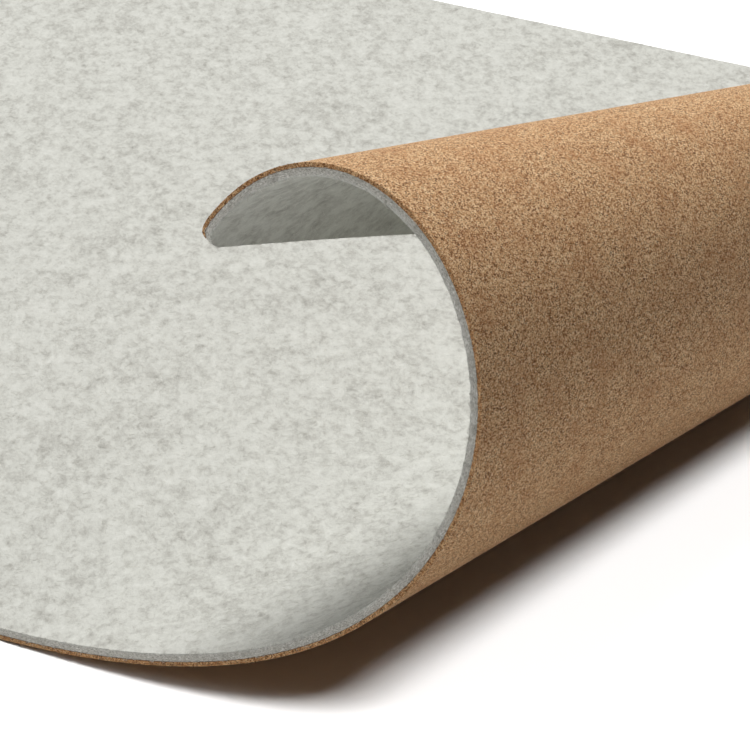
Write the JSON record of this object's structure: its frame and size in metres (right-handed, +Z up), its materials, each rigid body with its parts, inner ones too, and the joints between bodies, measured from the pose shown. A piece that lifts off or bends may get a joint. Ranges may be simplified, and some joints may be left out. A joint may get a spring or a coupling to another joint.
{
  "type": "desk mat",
  "caption": "Wool felt desk mat with a thin cork backing, lying flat with one end curled up and over.",
  "frame": {"origin": "on the underside, at the middle of the sheet as it lies when the curl is let out flat", "axes": "+X along the mat towards the curled end, +Y from the front edge to the back edge, +Z up"},
  "size_m": [0.7855, 0.4089, 0.1367],
  "materials": {
    "cork": "fine agglomerated cork, matt",
    "adhesive": "thin heat-set bonding film, seen only as a line in the cut edge",
    "felt": "pressed wool felt, mottled warm grey"
  },
  "bodies": {
    "root": {"cork_base": "cork", "bond_film": "adhesive", "felt_top": "felt"}
  },
  "joints": []
}
